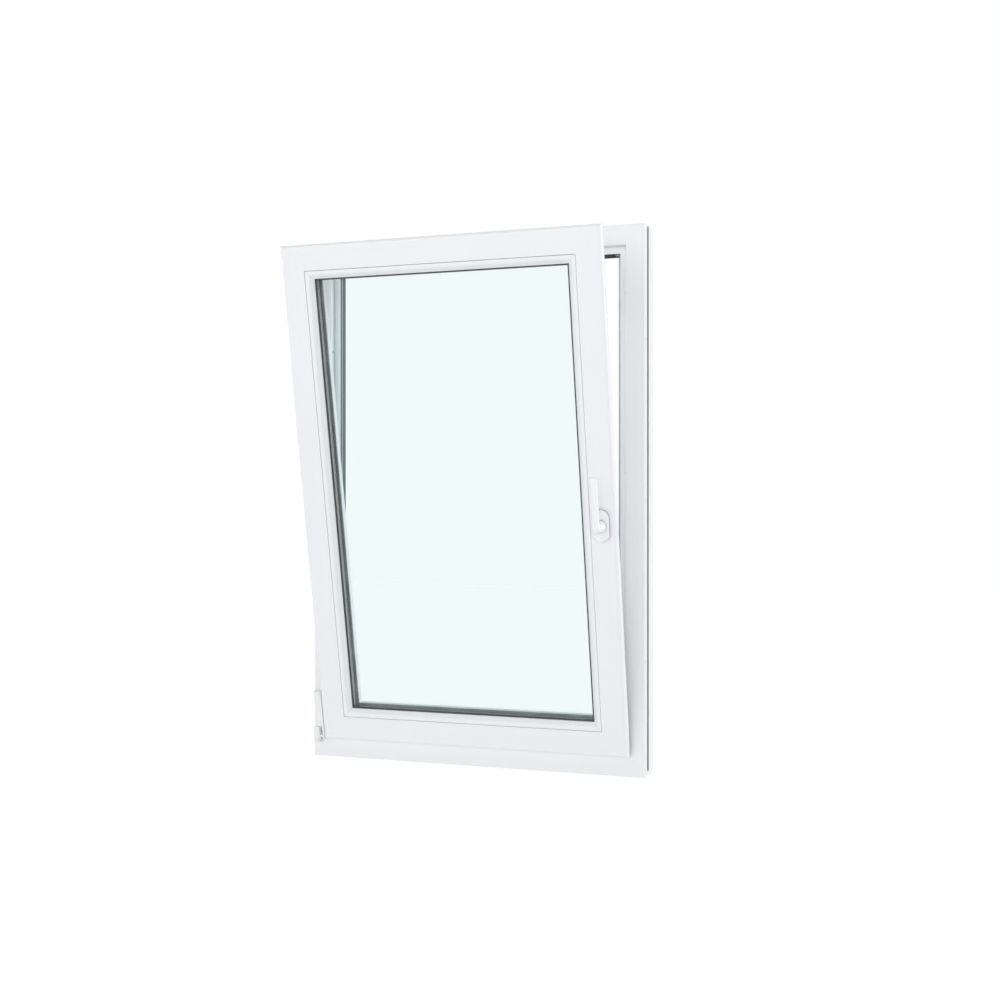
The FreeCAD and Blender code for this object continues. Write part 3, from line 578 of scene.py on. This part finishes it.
def close_copies(*sets):
    """Copies the open piece, every copy with its own mesh, and closes the copies.

    A set holds the names of its copies with their moves, and the fittings that the copies share.
    """
    bpy.ops.object.mode_set(mode="OBJECT")
    pattern = bpy.context.object
    for named_moves, fittings in sets:
        for name, move in named_moves:
            bpy.ops.object.select_all(action="DESELECT")
            pattern.select_set(True)
            bpy.context.view_layer.objects.active = pattern
            bpy.ops.object.duplicate()
            bpy.context.object.name = name
            bpy.context.object.matrix_world = move @ bpy.context.object.matrix_world
            bpy.ops.object.mode_set(mode="EDIT")
            close_piece(*fittings)
    bpy.data.objects.remove(pattern)


start_block("strike_pattern", (STRIKES_LOW.x, STRIKES_LOW.y, first_height - STRIKE_LENGTH / 2),
            (STRIKES_HIGH.x, STRIKES_HIGH.y, first_height + STRIKE_LENGTH / 2))
pick("edges", runs_along(0))
round_off(0.003, 5)
slice_at(1, STRIKE_BAR_Y)
slice_at(2, first_height - STRIKE_BAR_HALF, first_height + STRIKE_BAR_HALF)
pick("faces", lambda face: lies_at(0, STRIKES_LOW.x)(face) and centre_of(face).y > STRIKE_BAR_Y
     and abs(centre_of(face).z - first_height) < STRIKE_BAR_HALF)
push(-STRIKE_BAR_RISE, 0, 0)
pick("edges", lies_at(0, STRIKES_LOW.x - STRIKE_BAR_RISE))
round_off(0.0007, 3)
strikes = [(f"strike_{number}", Matrix.Translation((0, 0, height - first_height)))
           for number, height in enumerate(STRIKE_HEIGHTS, 1)]
close_copies((strikes, (cover_white, "frame", "hinge_steel", False, ("strike_plates",))))

# Screws: zinc plated heads with a cross recess, two in each strike and a row along the lock rail.
# One head is modelled and copied; the rail's heads face the other way and lean with the sash.
SCREW_RADIUS = 0.0031
SCREW_RISE = 0.0009
SCREW_Y = -0.0285
STRIKE_SCREW_OFFSETS = (("low", -0.0235), ("high", 0.0235))
CROSS_HALF_WIDTH = 0.00045
CROSS_REACH = 0.0018
CROSS_DEPTH = 0.0007
CROSS_CUTS = (-CROSS_REACH, -CROSS_HALF_WIDTH, CROSS_HALF_WIDTH, CROSS_REACH)
RAIL_FACE_X = 0.3425
RAIL_MIDDLE_Y = -0.031
RAIL_SCREW_HEIGHTS = (0.150, 0.400, 0.560, 0.820, 0.980)
ALONG_X = (0, math.pi / 2, 0)
screw_place = Vector((STRIKES_LOW.x, SCREW_Y, first_height))
start_rod("screw_pattern", 28, SCREW_RADIUS, 2 * SCREW_RISE, screw_place, ALONG_X)
pick("edges", lies_at(0, screw_place.x - SCREW_RISE))
round_off(0.0004, 3)
slice_at(1, *[screw_place.y + cut for cut in CROSS_CUTS])
slice_at(2, *[screw_place.z + cut for cut in CROSS_CUTS])


def in_cross(face):
    """Whether a face of the head's front lies in the cross recess."""
    aside = abs(centre_of(face).y - screw_place.y)
    above = abs(centre_of(face).z - screw_place.z)
    arm = min(aside, above) < CROSS_HALF_WIDTH and max(aside, above) < CROSS_REACH
    return arm and lies_at(0, screw_place.x - SCREW_RISE)(face)


pick("faces", in_cross)
push(CROSS_DEPTH, 0, 0)
strike_screws = [(f"strike_screw_{number}_{end}", Matrix.Translation((0, 0, height - first_height + offset)))
                 for number, height in enumerate(STRIKE_HEIGHTS, 1) for end, offset in STRIKE_SCREW_OFFSETS]
turn_round = Matrix.Rotation(math.pi, 4, "Z") @ Matrix.Translation(-screw_place)
rail_screws = [(f"rail_screw_{number}", Matrix.Translation((RAIL_FACE_X, RAIL_MIDDLE_Y, height)) @ turn_round)
               for number, height in enumerate(RAIL_SCREW_HEIGHTS, 1)]
close_copies((strike_screws, (zinc, "frame", "hinge_steel")),
             (rail_screws, (zinc, "sash", "hinge_steel", True)))

# Locking cams: turned steel mushrooms riveted in the lock rail, with a waist that slides behind a strike's
# bar. The round socket in each head takes the key that sets how tight the sash closes.
CAM_RADIUS = 0.0045
CAM_LENGTH = 0.007
CAM_WAIST = (0.0016, 0.0046)
CAM_WAIST_DEPTH = 0.0009
CAM_RIM = 0.0017
CAM_SOCKET_DEPTH = 0.0022
CAM_TOP_X = RAIL_FACE_X + CAM_LENGTH
waist_from, waist_to = [RAIL_FACE_X + level for level in CAM_WAIST]
start_rod("cam_pattern", 40, CAM_RADIUS, CAM_LENGTH,
          (RAIL_FACE_X + CAM_LENGTH / 2, RAIL_MIDDLE_Y, first_height), ALONG_X)
slice_at(0, waist_from, waist_to)
pick("faces", lambda face: waist_from + HAIR < centre_of(face).x < waist_to - HAIR)
bpy.ops.mesh.extrude_region_shrink_fatten(TRANSFORM_OT_shrink_fatten={"value": -CAM_WAIST_DEPTH})
pick("edges", lies_at(0, CAM_TOP_X))
round_off(0.0007, 4)
pick("faces", lies_at(0, CAM_TOP_X))
bpy.ops.mesh.inset(thickness=CAM_RIM, depth=0)
push(-CAM_SOCKET_DEPTH, 0, 0)
cams = [(f"locking_cam_{number}", Matrix.Translation((0, 0, height - first_height)))
        for number, height in enumerate(STRIKE_HEIGHTS, 1)]
close_copies((cams, (zinc, "sash", "hinge_steel", True, ("lock_cams",))))

# Drain hoods: two small white mouldings on the outside of the sill, pressed into its drain slots.
# Water leaves through a slot in the underside; the front is a shallow panel with a rounded rim.
HOOD_WIDTH = 0.034
HOOD_PANEL_RIM, HOOD_PANEL_DEPTH = 0.0012, 0.0004
HOOD_SLOT_RIM, HOOD_SLOT_DEPTH = 0.0006, 0.005
NEARLY_STRAIGHT = 0.99
HOODS_LOW, HOODS_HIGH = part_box("drain_caps")
hood_step = HOODS_HIGH.x - HOODS_LOW.x - HOOD_WIDTH
start_block("hood_pattern", HOODS_LOW, (HOODS_LOW.x + HOOD_WIDTH, HOODS_HIGH.y, HOODS_HIGH.z))
pick("edges", runs_along(1))
round_off(0.003, 6)
pick("edges", lies_at(1, HOODS_HIGH.y))
round_off(0.0011, 4)
pick("faces", lies_at(1, HOODS_HIGH.y))
bpy.ops.mesh.inset(thickness=HOOD_PANEL_RIM, depth=-HOOD_PANEL_DEPTH)
# The slot reaches the first step of each rounded lower corner
pick("faces", lambda face: face.normal.z < -NEARLY_STRAIGHT)
bpy.ops.mesh.inset(thickness=HOOD_SLOT_RIM, depth=0)
push(0, 0, HOOD_SLOT_DEPTH)
hoods = [("drain_hood_left", Matrix()), ("drain_hood_right", Matrix.Translation((hood_step, 0, 0)))]
close_copies((hoods, (cover_white, "frame", "hinge_cover", False, ("drain_caps",))))

# Handle rosette: an oval white cover over the handle's square spindle, clipped on the sash's right stile.
# Its rim is softly rounded, with a fine groove near the sash; the back part beside the sash is painted shade.
ROSETTE_LOW = (0.318, -0.066, 0.5245)
ROSETTE_HIGH = (0.354, -0.055, 0.5935)
ROSETTE_GROOVE, ROSETTE_GROOVE_WIDTH = -0.0565, 0.0006
# Depths of the rosette's back part, next to the sash, painted grey as painted shade
ROSETTE_SHADE_BAND = (-0.0605, -0.0540)
rosette_white = white_moulding("white_rosette_paint", paint(241, 242, 245), ROSETTE_SHADE_BAND)
start_block("oval_rosette", ROSETTE_LOW, ROSETTE_HIGH)
pick("edges", runs_along(1))
round_off(0.0176, 14)
pick("edges", lies_at(1, ROSETTE_LOW[1]))
round_off(0.003, 5)
cap_grooves(1, (ROSETTE_GROOVE,), ROSETTE_GROOVE_WIDTH)
close_piece(rosette_white, "sash", "white_handle", True, ("handle_rosette",), 35)

# Handle lever: a cast metal grip painted white, on a flared round neck that turns on the rosette.
# The grip is a flat bar with rounded edges and a round tip; the neck's foot spreads like a trumpet.
LEVER_LOW = (0.3285, -0.103, 0.5515)
LEVER_HIGH = (0.3435, -0.092, 0.669)
# Depths of the neck's foot, next to the rosette, painted grey as painted shade
LEVER_FOOT_SHADE_BAND = (-0.0696, -0.0660)
HANDLE_X, HANDLE_Z = 0.336, 0.559
NECK_FOOT, NECK_FOOT_RADIUS = -0.0663, 0.014
NECK_TOP, NECK_TOP_RADIUS = -0.0965, 0.0068
# Depth and radius of each ring of the neck
NECK_RINGS = [(-0.0698, 0.0138), (-0.0714, 0.0118), (-0.075, 0.0097), (-0.081, 0.0083), (-0.089, 0.0075)]
lever_white = white_moulding("white_lever_paint", paint(245, 246, 249), LEVER_FOOT_SHADE_BAND)
bpy.ops.object.select_all(action="DESELECT")
bpy.ops.mesh.primitive_cone_add(vertices=48, radius1=NECK_TOP_RADIUS, radius2=NECK_FOOT_RADIUS,
                                depth=NECK_FOOT - NECK_TOP, rotation=(-math.pi / 2, 0, 0),
                                location=(HANDLE_X, (NECK_FOOT + NECK_TOP) / 2, HANDLE_Z))
open_new("lever_neck")
neck = bpy.context.object
for depth, radius in NECK_RINGS:
    slice_at(1, depth)
    pick("edges", lies_at(1, depth))
    ring = next(corner for corner in bmesh.from_edit_mesh(neck.data).verts if corner.select)
    share = radius / math.hypot(ring.co.x - HANDLE_X, ring.co.z - HANDLE_Z)
    bpy.ops.transform.resize(value=(share, 1, share), center_override=(HANDLE_X, depth, HANDLE_Z))
bpy.ops.object.mode_set(mode="OBJECT")
start_block("lever_grip", LEVER_LOW, LEVER_HIGH)
pick("edges", runs_along(1))
round_off(0.0073, 10)
pick("edges", lies_at(1, LEVER_LOW[1]))
round_off(0.0044, 6)
pick("edges", lies_at(1, LEVER_HIGH[1]))
round_off(0.0025, 4)
bpy.ops.object.mode_set(mode="OBJECT")
neck.select_set(True)
bpy.ops.object.join()
bpy.ops.object.mode_set(mode="EDIT")
close_piece(lever_white, "handle", "white_handle", True, ("handle_lever",), 50)
